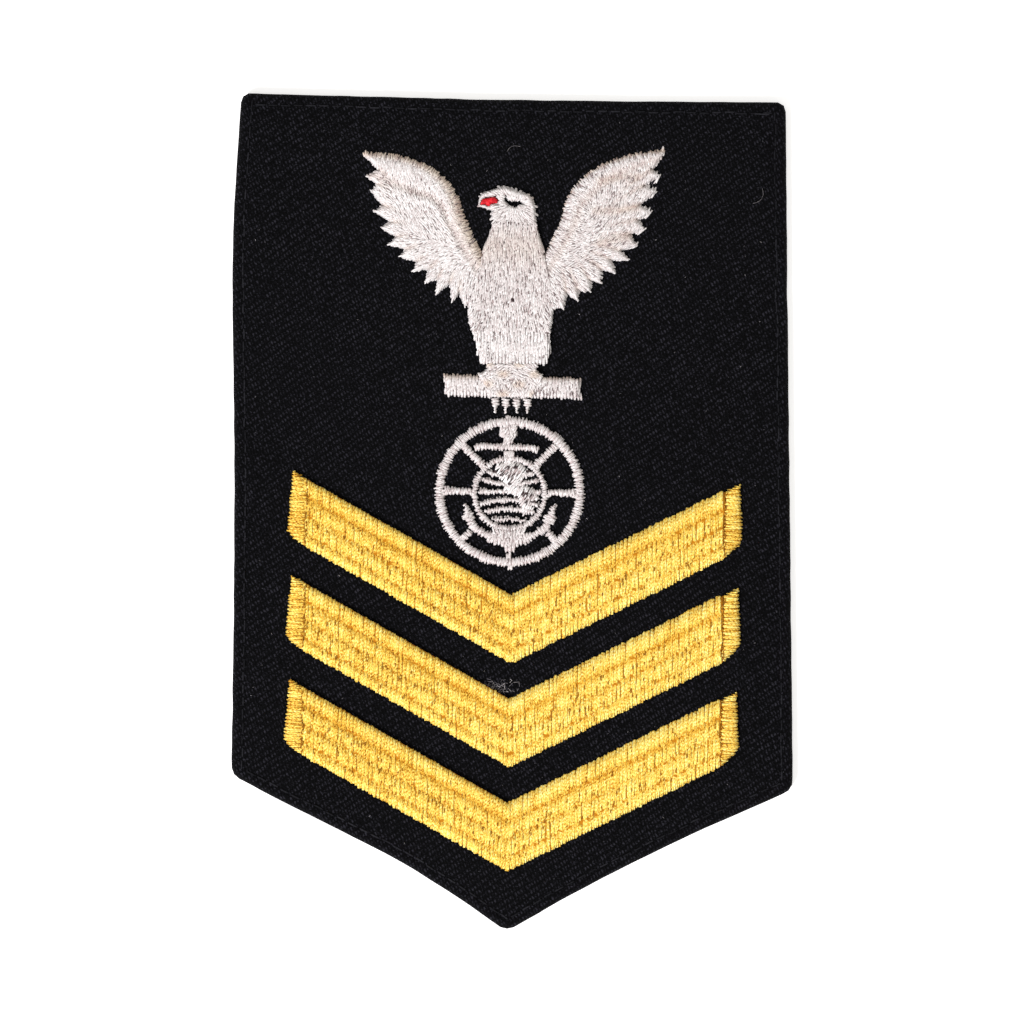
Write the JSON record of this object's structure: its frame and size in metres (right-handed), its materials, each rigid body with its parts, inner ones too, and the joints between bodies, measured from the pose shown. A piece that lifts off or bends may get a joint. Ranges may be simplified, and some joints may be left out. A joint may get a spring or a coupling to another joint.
{
  "type": "rank chevron patch",
  "caption": "Five-sided dark cloth patch with turned-under edges, embroidered with an eagle on a perch, a round globe, compass and anchor mark, and gold chevrons.",
  "frame": {"origin": "on the surface the patch lies on, under the middle of its outline's box", "axes": "+X to the right of the face, +Y up the face towards the eagle, +Z out of the face"},
  "size_m": [0.1036, 0.1512, 0.0034],
  "materials": {
    "serge": "matte near-black wool serge in a steep twill, with a faint fuzz",
    "white_thread": "soft satin embroidery thread, off-white",
    "red_thread": "satin embroidery thread, red",
    "gold_thread": "lustrous satin embroidery thread, gold"
  },
  "bodies": {
    "root": {"ground_cloth": "serge", "wing_left": "white_thread", "wing_right": "white_thread", "head": "white_thread", "torso": "white_thread", "tail": "white_thread", "legs": "white_thread", "perch": "white_thread", "talon_1": "white_thread", "talon_2": "white_thread", "talon_3": "white_thread", "talon_4": "white_thread", "compass_ring": "white_thread", "spoke_left": "white_thread", "spoke_right": "white_thread", "spoke_upper_left": "white_thread", "spoke_upper_right": "white_thread", "spoke_lower_left": "white_thread", "spoke_lower_right": "white_thread", "globe_ring": "white_thread", "latitude_1": "white_thread", "latitude_2": "white_thread", "latitude_3": "white_thread", "latitude_4": "white_thread", "latitude_5": "white_thread", "latitude_6": "white_thread", "land_north": "white_thread", "land_south": "white_thread", "anchor_head": "white_thread", "anchor_stock": "white_thread", "anchor_shank": "white_thread", "anchor_arms": "white_thread", "beak": "red_thread", "chevron_1_band": "gold_thread", "chevron_1_end_left": "gold_thread", "chevron_1_end_right": "gold_thread", "chevron_2_band": "gold_thread", "chevron_2_end_left": "gold_thread", "chevron_2_end_right": "gold_thread", "chevron_3_band": "gold_thread", "chevron_3_end_left": "gold_thread", "chevron_3_end_right": "gold_thread"}
  },
  "joints": []
}
